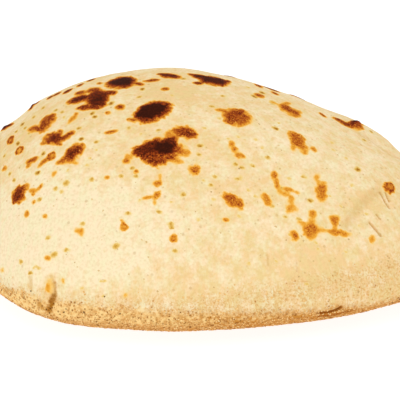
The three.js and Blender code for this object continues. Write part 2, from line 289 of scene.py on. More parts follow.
# Marks where the camera doesn't see: how many, their sizes in mm, their burns, and between which latitudes.
HIDDEN_KINDS = (
    (15, (8.0, 13.0), (0.86, 1.0), (34.0, 82.0)),
    (16, (5.0, 9.0), (0.60, 0.92), (8.0, 84.0)),
    (60, (2.4, 4.6), (0.40, 0.62), (-2.0, 85.0)),
    (130, (1.1, 2.2), (0.28, 0.46), (-4.0, 88.0)),
    (12, (8.0, 16.0), (0.36, 0.62), (-84.0, -28.0)),
    (40, (2.5, 5.0), (0.30, 0.52), (-84.0, -16.0)),
)
# How many places are tried for each, how far it stays clear of the others as a share of their sizes, past
# which latitude no lobe strays, and how many degrees about the heart 1 mm of skin takes.
TRIES = 12
CLEARANCE = 0.55
TOP_LATITUDE = 88.0
DEGREES_PER_MM = 0.75
# What still counts as seen: skin so near to side-on, and so far beside the camera's frame.
GRAZING = 0.02
VIEW_MARGIN = 12.0

# What each point of the skin says about its colour: how scorched it is, how toasted as part of the base, how
# pebbly, how dark the toast, how warm the dough, how deep in a fold (painted shade, and the toasted brown of
# the crease and flat strips), how far in a small spot, and how far it faces down (painted shade under the
# base).
SKIN_LAYERS = ("scorch", "toast", "pebble", "depth", "warmth", "fold", "spot", "under")

# A mark near the outline is never stretched by more than the inverse of this.
LEAST_RISE = 0.20
# A mark's colour climbs from the dough's to its own over at most this many mm outside and inside its edge.
EDGE_BEFORE = 0.80
EDGE_INSIDE = 1.50
# A furrow is felt no farther than this from its first point, in metres, and a bubble from its middle.
FURROW_REACH = 0.04
BUBBLE_REACH = 0.02
# The skin's faces are made finer where a point is more scorched or spotted than this, or lies within so many
# mm of a furrow, and finer once more within the smaller margin.
FAINT = 0.10
FURROW_MARGIN = 1.2
FINE_MARGIN = 0.4
# Uneven lumps, each as a height and a size in mm: at the marks' edges, at the toast's edge, in the skin, and
# in the toasted skin alone.
EDGE_LUMPS = ((0.8, 2.7), (0.75, 1.15))
TOAST_LUMPS = ((1.1, 7.0), (0.7, 2.6))
SKIN_LUMPS = ((0.16, 11.0), (0.07, 4.2), (0.03, 1.9))
TOAST_GRAIN = ((0.10, 1.3),)
# How many shapes the grit and the flecks have, how thick they and the charred crumbs are beside their length,
# and how far the grit stands out of the skin.
GRIT_SHAPES = 6
FLECK_SHAPES = 5
GRIT_FLAT = 0.7
FLECK_FLAT = 0.12
CRUMB_FLAT = 0.4
GRIT_STANDS = 0.12
# Half the table top's width, in metres.
TABLE_HALF = 4.0
SEED = 29


# ---------------------------------------------------------------- places on the skin


def smooth(t):
    """A smooth step from 0 to 1."""
    t = min(max(t, 0.0), 1.0)
    return t * t * (3.0 - 2.0 * t)


def between(table, angle):
    """The value at an angle in a table of (degrees, value) that runs from 0 to 360."""
    for (low, start), (high, end) in zip(table, table[1:]):
        if angle <= high:
            return start + (end - start) * (angle - low) / (high - low)


def lumps(point, kinds, shift=Vector((0.0, 0.0, 0.0))):
    """The height at a point of uneven lumps of several kinds, each with its height and its size in mm."""
    return sum(height * noise.noise(point / MM / size + shift) for height, size in kinds)


def frame_ray(x, y):
    """The direction from the camera through a place in its frame."""
    return (LOOK + RIGHT * ((x - FRAME_MIDDLE) / FOCAL) + UP * ((FRAME_MIDDLE - y) / FOCAL)).normalized()


def in_view(point, normal):
    """Whether the camera sees this place of the skin, or nearly so."""
    offset = point - CAMERA_PLACE
    x = FRAME_MIDDLE + FOCAL * offset.dot(RIGHT) / offset.dot(LOOK)
    return normal.dot(LOOK) < GRAZING and -VIEW_MARGIN < x < FRAME_SIDE + VIEW_MARGIN


def azimuth_of(point):
    """The azimuth of a point about the bread's heart, in degrees from 0 to 360."""
    return math.degrees(math.atan2(point.y - HEART.y, point.x - HEART.x)) % 360.0


def tangents(normal):
    """The level direction in the skin and the one that climbs it."""
    level = Vector((0.0, 0.0, 1.0)).cross(normal)
    along = level.normalized() if level.length > 1e-6 else RIGHT
    return along, normal.cross(along)


def facing_seat(skin, x, y):
    """The seat of a mark placed by the camera's frame, so that its outline shows there unstretched."""
    ray = frame_ray(x, y)
    point, normal = skin.ray_cast(CAMERA_PLACE, ray)[:2]
    if point is None:
        point, normal = skin.find_nearest(CAMERA_PLACE + ray * DISTANCE)[:2]
    along = (RIGHT - normal * normal.dot(RIGHT)).normalized()
    up = normal.cross(along)
    if up.dot(UP) < 0.0:
        up.negate()
    return Seat(point, normal, along, up, RIGHT.dot(along), UP.dot(along), max(UP.dot(up), LEAST_RISE))


def hidden_seat(skin, azimuth, latitude):
    """The seat of a mark that is placed by its azimuth and latitude in degrees."""
    turn, tip = math.radians(azimuth), math.radians(latitude)
    direction = Vector((math.cos(turn) * math.cos(tip), math.sin(turn) * math.cos(tip), math.sin(tip)))
    point, normal = skin.ray_cast(HEART, direction)[:2]
    return Seat(point, normal, *tangents(normal), 1.0, 0.0, 1.0)


# ---------------------------------------------------------------- scorch marks


def facing_mark(skin, x, y, wide, tall, tilt, burn, hollow=0):
    """A mark placed by the camera's frame, with its tilt in degrees, and its burn and hollow in percent."""
    return Mark(facing_seat(skin, x, y), wide, tall, math.radians(tilt), burn / 100, hollow / 100)


def facing_spots(skin):
    """The small spots on the side that faces the camera."""
    return [
        facing_mark(skin, x, y, SPOT_WIDE * size, SPOT_TALL * size, SPOT_TILT * (1.0 - x / FRAME_MIDDLE), tan)
        for size, tan, places in SPOTS
        for x, y in places
    ]


def hidden_cluster(skin, draw, azimuth, latitude, size, burn):
    """A mark that the camera doesn't see: a straggling row of lobes that fade from one end to the other."""
    lobes = 1 + int(draw.random() * min(size, 8.0) * 0.6)
    heading = draw.uniform(0.0, math.tau)
    marks = []
    for lobe in range(lobes):
        wide = size * draw.uniform(0.55, 1.0) * 0.84 ** lobe
        tall = wide * draw.uniform(0.38, 0.85)
        heat = burn * draw.uniform(0.9, 1.05) * 0.86 ** lobe
        hollow = 0.4 if size < 4.0 and draw.random() < 0.15 else 0.0
        seat = hidden_seat(skin, azimuth, latitude)
        marks.append(Mark(seat, wide, tall, heading + draw.uniform(-0.4, 0.4), min(heat, 1.0), hollow))
        stride = wide * draw.uniform(0.35, 0.6) * DEGREES_PER_MM
        azimuth += stride * math.cos(heading) / max(math.cos(math.radians(latitude)), 0.2)
        latitude = min(latitude + stride * math.sin(heading), TOP_LATITUDE)
        heading += draw.uniform(-0.8, 0.8)
    return marks


def hidden_marks(skin, draw):
    """Marks of the same kinds and sizes on the back, the ends and the underside."""
    marks, taken = [], []
    for count, sizes, burns, latitudes in HIDDEN_KINDS:
        low, high = (math.sin(math.radians(limit)) for limit in latitudes)
        made = 0
        for _ in range(count * TRIES):
            latitude = math.degrees(math.asin(draw.uniform(low, high)))
            azimuth = draw.uniform(0.0, 360.0)
            size, burn = draw.uniform(*sizes), draw.uniform(*burns)
            seat = hidden_seat(skin, azimuth, latitude)
            clear = all((seat.point - spot).length > (size + reach) * CLEARANCE * MM for spot, reach in taken)
            if in_view(seat.point, seat.normal) or not clear:
                continue
            marks += hidden_cluster(skin, draw, azimuth, latitude, size, burn)
            taken.append((seat.point, size))
            made += 1
            if made == count:
                break
    return marks


def mark_place(mark, point):
    """A point's place in the mark's own outline, in mm along its width and its height."""
    offset = (point - mark.seat.point) / MM
    level, climb = offset.dot(mark.seat.along), offset.dot(mark.seat.up)
    x, y = mark.seat.across * level, mark.seat.slant * level + mark.seat.rise * climb
    turn, lean = math.cos(mark.tilt), math.sin(mark.tilt)
    return turn * x + lean * y, turn * y - lean * x


def mark_depth(mark, point):
    """How deep inside the mark's outline a point lies, in mm, and as a share of the way to its middle."""
    x, y = mark_place(mark, point)
    half = min(mark.wide, mark.tall) / 2
    share = math.hypot(x / (mark.wide / 2), y / (mark.tall / 2))
    edge = math.hypot(x, y) / share if share > 0.05 else half
    return (1.0 - share) * math.sqrt(edge * half), 1.0 - share


def ragged(mark, point, short):
    """How far the skin's grain moves the edge of a mark there, in mm."""
    reach = min(1.1, short / 4.2) * (0.35 + 0.65 * mark.seat.rise)
    broad, fine = EDGE_LUMPS
    return reach * (lumps(point, (broad,)) + lumps(point, (fine,), Vector((9.0, 0.0, 4.0))))


def mark_heat(mark, point):
    """How scorched the mark makes this point, from 0 to 1, and how far the mark's blister lifts it, in mm."""
    short = min(mark.wide, mark.tall)
    depth, inside = mark_depth(mark, point)
    depth += ragged(mark, point, short)
    crisp = 1.0 - mark.hollow
    before = min(EDGE_BEFORE, 0.34 + 0.12 * short) * crisp
    within = min(EDGE_INSIDE, 0.24 + 0.36 * short) * (1.14 - 0.14 * mark.burn) * crisp
    heat = mark.burn * smooth((depth + before) / (before + within))
    heat *= 1.0 - mark.hollow * smooth((inside - 0.25) / 0.4)
    lift = 0.09 * min(short, 4.5) * mark.burn * smooth((inside + 0.1) / 0.7)
    return heat, lift


def mark_reach(mark):
    """How far from its seat a mark is felt, in metres."""
    return (max(mark.wide, mark.tall) * 0.55 / min(mark.seat.across, mark.seat.rise, 1.0) + 2.2) * MM


def points_under(bm, marks):
    """Every pair of a mark and a point of the skin that it may reach."""
    verts = list(bm.verts)
    tree = KDTree(len(verts))
    for index, vert in enumerate(verts):
        tree.insert(vert.co, index)
    tree.balance()
    for mark in marks:
        for _, index, _ in tree.find_range(mark.seat.point, mark_reach(mark)):
            yield mark, verts[index]


def scorched(bm, marks):
    """Writes the heat of all the marks to the skin's points, and returns each point's lift in mm."""
    layer = bm.verts.layers.float["scorch"]
    for vert in bm.verts:
        vert[layer] = 0.0
    lifts = {}
    for mark, vert in points_under(bm, marks):
        heat, lift = mark_heat(mark, vert.co)
        high, low = max(vert[layer], heat), min(vert[layer], heat)
        vert[layer] = high + 0.25 * low * (1.0 - high)
        lifts[vert] = max(lifts.get(vert, 0.0), lift)
    return lifts


def spotted(bm, spots):
    """Writes how strongly the small spots tint the skin's points."""
    layer = bm.verts.layers.float["spot"]
    for spot, vert in points_under(bm, spots):
        inside = mark_depth(spot, vert.co)[1] + lumps(vert.co, ((0.35, 1.1),))
        vert[layer] = max(vert[layer], spot.burn * smooth((inside + 0.35) / 1.15))


# ---------------------------------------------------------------- the crust


def crust_form():
    """The bread's skin as one smooth shell, about 1.2 mm from point to point."""
    bm = bmesh.new()
    bm.from_mesh(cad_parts[LOAF].data)
    bmesh.ops.remove_doubles(bm, verts=bm.verts, dist=0.01 * MM)
    bmesh.ops.subdivide_edges(bm, edges=bm.edges, cuts=2, use_grid_fill=True)
    ease(bm, 7)
    return bm


def ease(bm, rounds):
    """Smooths the shell so many times over."""
    every_way = {"use_axis_x": True, "use_axis_y": True, "use_axis_z": True}
    for _ in range(rounds):
        bmesh.ops.smooth_vert(bm, verts=bm.verts, factor=0.5, **every_way)
    bm.normal_update()


def refine(bm, chosen):
    """Splits into four each face that has one of the chosen points."""
    edges = {edge for face in bm.faces if any(map(chosen, face.verts)) for edge in face.edges}
    bmesh.ops.subdivide_edges(bm, edges=list(edges), cuts=1, use_grid_fill=True)
    bmesh.ops.triangulate(bm, faces=[face for face in bm.faces if len(face.verts) > 3])


def furrow_paths(skin):
    """The furrows' paths on the skin."""
    return [([facing_seat(skin, x, y).point for x, y in row[0]], *row[1:]) for row in FURROWS]


def path_distance(path, point):
    """The distance in mm from a point to a path of straight stretches."""
    gaps = []
    for start, end in zip(path, path[1:]):
        run = end - start
        share = min(max((point - start).dot(run) / run.length_squared, 0.0), 1.0)
        gaps.append((point - start - run * share).length)
    return min(gaps) / MM


def near_furrow(vert, paths, margin):
    """Whether a point lies within a margin in mm of one of the furrows."""
    return any(
        (vert.co - path[0]).length < FURROW_REACH and path_distance(path, vert.co) < wide + margin
        for path, wide, *_ in paths
    )


def cut_furrows(bm, paths):
    """Sinks the furrows into the skin and darkens them: painted shade, and the toasted brown of the crease
    and strips.
    """
    layer = bm.verts.layers.float["fold"]
    for path, wide, deep, shade in paths:
        for vert in bm.verts:
            if (vert.co - path[0]).length < FURROW_REACH:
                gap = path_distance(path, vert.co) / wide + lumps(vert.co, ((0.3, 1.1),))
                vert[layer] = max(vert[layer], shade * smooth(1.3 - gap))
                vert.co -= vert.normal * deep * MM * smooth(1.0 - gap / 1.6)


def toast_here(point):
    """How toasted the skin's base is at a point, how pebbly, and how dark the toast is."""
    angle, height = azimuth_of(point), (point / MM).z
    waver = lumps(point, TOAST_LUMPS)
    toast = smooth((between(TOAST_EDGE, angle) - height + waver) / between(TOAST_FADE, angle) + 0.5)
    pebble = smooth((between(PEBBLE_EDGE, angle) - height + 1.5 * waver) / 6.0 + 0.5)
    outward = smooth((math.hypot(point.x - HEART.x, point.y - HEART.y) / MM - 20.0) / 45.0)
    depth = MIDDLE_DEPTH + (between(TOAST_DEPTH, angle) - MIDDLE_DEPTH) * outward
    return toast, max(pebble, toast), depth


def warmth_of(skin, points):
    """How warm the dough is at each of the points, from 0 to 1; below 0 it stays pale whatever the grain."""
    warmth = np.full(len(points), 0.50)
    for x, y, wide, tall, depth in TINTS:
        seat = facing_seat(skin, x, y)
        offset = (points - np.array(seat.point)) / MM
        axes = np.array((seat.along, seat.up, seat.normal))
        away = np.linalg.norm(offset @ axes.T / (np.array((wide, tall, max(wide, tall))) / 2), axis=1)
        warmth += depth * np.exp(-((away / 0.85) ** 2))
    return np.clip(warmth, -0.35, 1.0)


def raise_bubbles(bm, skin):
    """Lifts the small unburnt bubbles."""
    for x, y, wide, tall, rise in BUBBLES:
        bubble = facing_mark(skin, x, y, wide, tall, tilt=0, burn=0)
        for vert in bm.verts:
            if (vert.co - bubble.seat.point).length < BUBBLE_REACH:
                vert.co += vert.normal * rise * MM * smooth(mark_depth(bubble, vert.co)[1] + 0.15)


def build_skin(settings):
    """The whole crust: its form, its marks, its furrows and what its points say about colour."""
    bm = crust_form()
    layers = {name: bm.verts.layers.float.new(name) for name in SKIN_LAYERS}
    skin = BVHTree.FromBMesh(bm)
    rows = CROWN_MARKS + LEFT_MARKS + MIDDLE_MARKS + RIGHT_MARKS
    marks = [facing_mark(skin, *row) for row in rows] + hidden_marks(skin, random.Random(SEED))
    spots, paths = facing_spots(skin), furrow_paths(skin)
    scorched(bm, marks)
    spotted(bm, spots)
    heat, tan = layers["scorch"], layers["spot"]
    refine(bm, lambda vert: max(vert[heat], vert[tan]) > FAINT or near_furrow(vert, paths, FURROW_MARGIN))
    refine(bm, lambda vert: near_furrow(vert, paths, FINE_MARGIN))
    ease(bm, 1)
    lifts = scorched(bm, marks)
    spotted(bm, spots)
    warmth = warmth_of(skin, np.array([vert.co for vert in bm.verts]))
    for vert, warm in zip(bm.verts, warmth):
        toast, pebble, depth = toast_here(vert.co)
        vert[layers["toast"]], vert[layers["pebble"]], vert[layers["depth"]] = toast, pebble, depth
        # The under layer is painted shade: how far the skin faces down.
        vert[layers["warmth"]], vert[layers["under"]] = warm, smooth((-vert.normal.z - 0.35) / 0.5)
        rough = lumps(vert.co, SKIN_LUMPS) + toast * lumps(vert.co, TOAST_GRAIN, Vector((3.0, 8.0, 1.0)))
        rise = rough * settings.ripple + lifts.get(vert, 0.0) * settings.blister
        vert.co += vert.normal * rise * smooth(vert.co.z / MM / 2.0) * MM
    raise_bubbles(bm, skin)
    bm.normal_update()
    cut_furrows(bm, paths)
    for face in bm.faces:
        face.smooth = True
    return bm


# ---------------------------------------------------------------- grains


def grain_shapes(draw, count):
    """A few angular grains about 1 unit across, each as its corners and faces."""
    shapes = []
    for _ in range(count):
        bm = bmesh.new()
        bmesh.ops.create_cube(bm, size=0.9)
        for vert in bm.verts:
            vert.co += Vector([draw.uniform(-0.22, 0.22) for _ in range(3)])
        bmesh.ops.triangulate(bm, faces=bm.faces)
        bmesh.ops.recalc_face_normals(bm, faces=bm.faces)
        corners = np.array([vert.co for vert in bm.verts])
        faces = np.array([[vert.index for vert in face.verts] for face in bm.faces])
        shapes.append((corners, faces))
        bm.free()
    return shapes


def scatter(name, grains, shapes, material):
    """One mesh of many grains. A grain is its place, its three half axes as vectors and its tone."""
    corners, faces, tones = [], [], []
    start = 0
    for index, (spot, axes, tone) in enumerate(grains):
        shape, cells = shapes[index % len(shapes)]
        corners.append(shape @ np.array(axes) + np.array(spot))
        faces.append(cells + start)
        tones.append(np.full(len(shape), tone))
        start += len(shape)
    mesh = bpy.data.meshes.new(name)
    mesh.from_pydata(np.concatenate(corners).tolist(), [], np.concatenate(faces).tolist())
    layer = mesh.attributes.new("tone", "FLOAT", "POINT")
    layer.data.foreach_set("value", np.concatenate(tones))
    mesh.materials.append(material)
    return put(name, mesh)


def grain_axes(normal, draw, size, flat):
    """A grain's three axes: turned at random in the skin, and flattened against it."""
    along, up = tangents(normal)
    turn = draw.uniform(0.0, math.tau)
    first = (along * math.cos(turn) + up * math.sin(turn)) * size
    second = normal.cross(first) * draw.uniform(0.6, 1.0)
    third = (normal + along * draw.uniform(-0.3, 0.3) + up * draw.uniform(-0.3, 0.3)) * size * flat
    return tuple(first), tuple(second), tuple(third)


def skin_samples(mesh, draw, count, weight):
    """Random places on the skin and their normals, more of them where the weight of a triangle is high."""
    mesh.calc_loop_triangles()
    weights = np.array([weight(mesh, triangle) * triangle.area for triangle in mesh.loop_triangles])
    bounds = np.cumsum(weights)
    for _ in range(count):
        triangle = mesh.loop_triangles[int(np.searchsorted(bounds, draw.random() * bounds[-1]))]
        first, second = draw.random(), draw.random()
        if first + second > 1.0:
            first, second = 1.0 - first, 1.0 - second
        a, b, c = (mesh.vertices[index].co for index in triangle.vertices)
        yield a + (b - a) * first + (c - a) * second, triangle.normal.copy()


def layer_value(mesh, name, triangle):
    """The mean of a point attribute over a triangle."""
    values = mesh.attributes[name].data
    return sum(values[index].value for index in triangle.vertices) / 3.0


def grit_weight(mesh, triangle):
    """How thickly the grit lies on a triangle of the skin; none under the face it rests on."""
    toast, pebble, heat, fold = (
        layer_value(mesh, name, triangle) for name in ("toast", "pebble", "scorch", "fold")
    )
    bare = 1.0 - 0.9 * smooth((max(heat, 0.5 * fold) - 0.1) / 0.2)
    return (toast + 0.10 * pebble) * bare * smooth((triangle.center.z / MM - 2.5) / 3.0)


def fleck_weight(mesh, triangle):
    """How thickly the bran lies on a triangle of the skin: thinly on the toast, and not on the marks."""
    bare = 1.0 - smooth((layer_value(mesh, "scorch", triangle) - 0.05) / 0.1)
    return bare * (1.0 - 0.8 * layer_value(mesh, "toast", triangle))


# ---------------------------------------------------------------- shader nodes


def colour(red, green, blue):
    """A screen colour, given from 0 to 255, as the shader takes it."""
    return (*Color((red / 255, green / 255, blue / 255)).from_srgb_to_scene_linear(), 1.0)


class Value:
    """What a node gives out. Sums on it are written as on numbers, and each of them becomes a Math node."""

    def __init__(self, node, output=0):
        self.tree, self.socket = node.id_data, node.outputs[output]

    def __add__(self, other):
        return maths("ADD", self, other)

    def __sub__(self, other):
        return maths("SUBTRACT", self, other)

    def __mul__(self, other):
        return maths("MULTIPLY", self, other)


def fill(node, inputs):
    """Links a node's sockets to what other nodes give out, or sets their values."""
    for key, value in inputs.items():
        if isinstance(value, Value):
            value.tree.links.new(value.socket, node.inputs[key])
        else:
            node.inputs[key].default_value = value
    return node


def add_node(tree, kind, inputs, **settings):
    """Adds a node, sets it up and fills its sockets."""
    node = tree.nodes.new(kind)
    for key, value in settings.items():
        setattr(node, key, value)
    return fill(node, inputs)


def maths(operation, first, second):
    """A Math node's result."""
    return Value(add_node(first.tree, "ShaderNodeMath", {0: first, 1: second}, operation=operation))


def blended(factor, low, high, mode="MIX"):
    """Two colours blended by a factor; the factor or the first colour is a node's."""
    tree = (factor if isinstance(factor, Value) else low).tree
    inputs = {0: factor, 6: low, 7: high}
    return Value(add_node(tree, "ShaderNodeMix", inputs, data_type="RGBA", blend_type=mode), 2)


def stepped(value, low, high, start=0.0, end=1.0):
    """A value brought smoothly from one range to another."""
    inputs = {"Value": value, "From Min": low, "From Max": high, "To Min": start, "To Max": end}
    return Value(add_node(value.tree, "ShaderNodeMapRange", inputs, interpolation_type="SMOOTHSTEP"))


def ramp(value, stops):
    """A colour ramp over (place, colour) stops."""
    node = add_node(value.tree, "ShaderNodeValToRGB", {"Fac": value})
    points = node.color_ramp.elements
    for index, (at, shade) in enumerate(stops):
        point = points[index] if index < 2 else points.new(at)
        point.position = at
        point.color = shade
    return Value(node, "Color")


def attribute(where, name):
    """A point attribute's value."""
    return Value(add_node(where.tree, "ShaderNodeAttribute", {}, attribute_name=name), "Fac")


def grain_noise(where, size, detail=2.0, roughness=0.5):
    """Soft noise whose lumps are about size mm across."""
    inputs = {"Vector": where, "Scale": 1.0 / (size * MM), "Detail": detail, "Roughness": roughness}
    return Value(add_node(where.tree, "ShaderNodeTexNoise", inputs), "Fac")


def bump(height, deep, strength=1.0):
    """The normal of a skin with this height, deep in metres."""
    inputs = {"Height": height, "Strength": strength, "Distance": deep}
    return Value(add_node(height.tree, "ShaderNodeBump", inputs))


def group(name, defaults, output):
    """A new shader node group that takes a place and some values, and gives out one value."""
    tree = bpy.data.node_groups.new(name, "ShaderNodeTree")
    add_socket = tree.interface.new_socket
    add_socket("Where", in_out="INPUT", socket_type="NodeSocketVector")
    for label, default in defaults.items():
        add_socket(label, in_out="INPUT", socket_type="NodeSocketFloat").default_value = default
    add_socket(output, in_out="OUTPUT", socket_type="NodeSocketFloat")
    given = tree.nodes.new("NodeGroupInput")
    return tree.nodes.new("NodeGroupOutput"), *(Value(given, label) for label in ("Where", *defaults))


def speckle_group():
    """Small round specks scattered over a surface."""
    defaults = {"Spacing": 1000.0, "Size": 0.2, "Share": 0.5}
    result, where, spacing, size, share = group("speckle", defaults, "Mask")
    cells = add_node(where.tree, "ShaderNodeTexVoronoi", {"Vector": where, "Scale": spacing})
    dot = stepped(size - Value(cells, "Distance"), 0.0, 0.12)
    tone = add_node(where.tree, "ShaderNodeSeparateColor", {"Color": Value(cells, "Color")})
    chosen = maths("LESS_THAN", Value(tone, "Red"), share)
    fill(result, {"Mask": dot * chosen * (Value(tone, "Green") * 0.7 + 0.3)})


def mottle_group():
    """Cloudy variation made of large, middle and fine lumps."""
    result, where, *shares = group("mottle", {"Large": 0.5, "Middle": 0.3, "Fine": 0.2}, "Value")
    clouds = [stepped(grain_noise(where, size, 3.0), 0.32, 0.68) for size in (18.0, 4.5, 1.5)]
    large, middle, fine = (cloud * share for cloud, share in zip(clouds, shares))
    fill(result, {"Value": large + middle + fine})


def grouped(where, name, **values):
    """A node group placed in a material."""
    shared = bpy.data.node_groups[name]
    return Value(add_node(where.tree, "ShaderNodeGroup", {"Where": where, **values}, node_tree=shared))


def new_material(name):
    """A material with only its output and a Principled shader."""
    material = bpy.data.materials.new(name)
    material.use_nodes = True
    nodes = material.node_tree.nodes
    nodes.clear()
    shader = nodes.new("ShaderNodeBsdfPrincipled")
    fill(nodes.new("ShaderNodeOutputMaterial"), {"Surface": Value(shader, "BSDF")})
    return material, shader


def own_place(shader):
    """The Object coordinates of the piece that has the material."""
    return Value(add_node(shader.id_data, "ShaderNodeTexCoord", {}), "Object")


# Colours of the dough as it scorches.
SCORCH_STOPS = (
    (0.00, colour(255, 232, 170)), (0.10, colour(250, 210, 122)), (0.20, colour(243, 184, 76)),
    (0.28, colour(234, 162, 54)), (0.37, colour(218, 138, 40)), (0.49, colour(192, 102, 29)),
    (0.63, colour(156, 66, 21)), (0.78, colour(120, 44, 14)), (0.90, colour(84, 30, 10)),
    (1.00, colour(56, 20, 8)),
)

# Colours of the dough as it turns golden brown in small spots.
TAN_STOPS = (
    (0.00, colour(248, 224, 166)), (0.30, colour(238, 204, 124)), (0.60, colour(216, 168, 74)),
    (0.85, colour(188, 130, 44)), (1.00, colour(164, 104, 30)),
)

# Painted shade inside creases, wrinkles and cracks: what is left of the light there. The same stops give the
# toasted brown of the crease and the flat strips.
FOLD_STOPS = ((0.00, WHITE), (0.50, (0.71, 0.53, 0.31, 1.0)), (1.00, (0.40, 0.22, 0.04, 1.0)))

# Colours of the grit and of the bran flecks, from their palest to their darkest grains.
GRIT_STOPS = (
    (0.00, colour(252, 220, 158)), (0.40, colour(238, 190, 116)), (0.65, colour(204, 148, 82)),
    (0.85, colour(172, 114, 48)), (1.00, colour(128, 74, 20)),
)
FLECK_STOPS = ((0.00, colour(232, 202, 146)), (0.50, colour(208, 172, 114)), (1.00, colour(104, 64, 24)))

# How much light the dry crust and its grains throw back.
CRUST_SHEEN = 0.04


def specks(where, spacing, size, share):
    """Round specks: so many places to the metre, so large beside their spacing, on this share of them."""
    return grouped(where, "speckle", Spacing=spacing, Size=size, Share=share)


def heat_in_grain(where):
    """The scorch attribute, broken up by the dough's grain, most at middling heat."""
    heat = attribute(where, "scorch")
    felt = stepped(heat, 0.08, 0.70, 0.0, 1.4) * stepped(heat, 0.74, 1.0, 1.0, 0.26)
    clots = grain_noise(where, 1.1, 3.0, 0.6) - 0.5
    grains = grain_noise(where, 0.50, 2.0, 0.6) - 0.5
    return heat + (clots * 0.45 + grains * 0.82 - specks(where, 1500.0, 0.34, 0.34) * 0.20) * felt


def grained_dough(where, settings):
    """Plain dough: broad warm and pale tints, mottling, soft upright streaks and fine grain."""
    cloud = grouped(where, "mottle", Large=0.32, Middle=0.44, Fine=0.36)
    drawn = Value(add_node(where.tree, "ShaderNodeMapping", {"Vector": where, "Scale": (1.0, 1.0, 0.26)}))
    height = Value(add_node(where.tree, "ShaderNodeSeparateXYZ", {"Vector": where}), "Z")
    streaks = (grain_noise(drawn, 2.2, 3.0, 0.6) - 0.5) * stepped(height, 55 * MM, 20 * MM, 0.5, 1.6)
    threads = (grain_noise(drawn, 0.55, 2.0, 0.6) - 0.5) * (attribute(where, "pebble") * 1.1 + 0.35)
    warmth = attribute(where, "warmth") + streaks + threads + (cloud - 0.54) * 1.15
    dough = blended(warmth, settings.pale_dough, settings.warm_dough)
    hue = stepped(grain_noise(drawn, 3.0, 4.0, 0.65), 0.36, 0.64)
    dough = blended(0.27, dough, blended(hue, settings.cool_dough, settings.rosy_dough))
    fine = stepped(grain_noise(where, 1.0, 2.0, 0.5), 0.40, 0.72)
    dough = blended(fine * 0.30, dough, settings.grain)
    freckles = maths("MAXIMUM", specks(where, 640.0, 0.30, 0.10), specks(where, 300.0, 0.22, 0.34))
    return blended(freckles * 0.38, dough, settings.freckle)


def toasted_base(where, settings):
    """The toasted base: gritty tan, darker where more deeply toasted, and painted shade where it turns under.
    """
    mottle = grouped(where, "mottle", Large=0.14, Middle=0.18, Fine=0.68)
    tone = attribute(where, "depth") + (mottle - 0.5) * 1.1
    tan = blended(tone, settings.toast_light, settings.toast_dark)
    # Painted shade on the base where its skin faces down.
    tan = blended(attribute(where, "under") * 0.7, tan, settings.toast_under_shade)
    crumbs = maths("MAXIMUM", specks(where, 950.0, 0.40, 0.50), specks(where, 620.0, 0.26, 0.34))
    return blended(crumbs * 0.92, tan, settings.toast_speck)


def crust_colour(where, heat, settings):
    """The crust's colour: dough, pebbly skin, toasted base, painted shade and brown in folds, small spots and
    scorch marks.
    """
    pebble = stepped(grain_noise(where, 0.75, 2.0, 0.7), 0.45, 0.68) * attribute(where, "pebble")
    dough = blended(pebble * 0.70, grained_dough(where, settings), settings.pebble)
    grain = grain_noise(where, 0.60, 3.0, 0.7) - 0.5
    toast = attribute(where, "toast")
    toast = toast + grain * (toast - toast * toast) * 7.0
    base = blended(toast, dough, toasted_base(where, settings))
    # Folds: painted shade multiplied into the colour, and the toasted brown of the crease and flat strips.
    shade = attribute(where, "fold") * (grain * 1.8 + 1.0)
    base = blended(1.0, base, ramp(shade, FOLD_STOPS), "MULTIPLY")
    tan = attribute(where, "spot") * (grain * 1.5 + 1.10)
    base = blended(stepped(tan, 0.0, 0.34), base, ramp(tan, TAN_STOPS))
    burnt = ramp(heat, SCORCH_STOPS)
    burnt = blended(toast, burnt, blended(1.0, base, burnt, "DARKEN"))
    return blended(stepped(heat, 0.0, 0.26), base, burnt)


def crust_material(settings):
    """The crust: matt floury dough with scorched blisters and a gritty base."""
    material, shader = new_material("baked_crust")
    where = own_place(shader)
    heat = heat_in_grain(where)
    fine = grain_noise(where, 0.5, 3.0, 0.6) * 0.30
    grit = grain_noise(where, 0.7, 3.0, 0.75) * attribute(where, "pebble")
    crackle = grain_noise(where, 0.9, 3.0, 0.6) * stepped(heat, 0.3, 0.8, 0.0, 0.6)
    fill(shader, {
        "Base Color": crust_colour(where, heat, settings),
        "Roughness": grain_noise(where, 0.9) * 0.10 + stepped(heat, 0.45, 1.0, 0.88, 0.70),
        "Specular IOR Level": CRUST_SHEEN,
        "Normal": bump(fine + grit + crackle, 0.35 * MM, 0.8),
    })
    return material


def grain_material(name, stops):
    """Grains and flecks: each has its own tone, with a little mottling."""
    material, shader = new_material(name)
    where = own_place(shader)
    cloud = grouped(where, "mottle", Large=0.1, Middle=0.2, Fine=0.7)
    fill(shader, {
        "Base Color": ramp(attribute(where, "tone") + (cloud - 0.5) * 0.18, stops),
        "Roughness": grain_noise(where, 0.4) * 0.15 + 0.78,
        "Specular IOR Level": CRUST_SHEEN,
        "Normal": bump(grain_noise(where, 0.2), 0.05 * MM),
    })
    return material


# ---------------------------------------------------------------- settings


def amount(label, description, default, **more):
    """A number of 0 or more that the user sets."""
    return FloatProperty(name=label, description=description, default=default, min=0.0, **more)


def tint(label, description, shade):
    """A colour that the user sets."""
    return FloatVectorProperty(
        name=label, description=description, subtype="COLOR", size=4, min=0.0, max=1.0, default=shade
    )


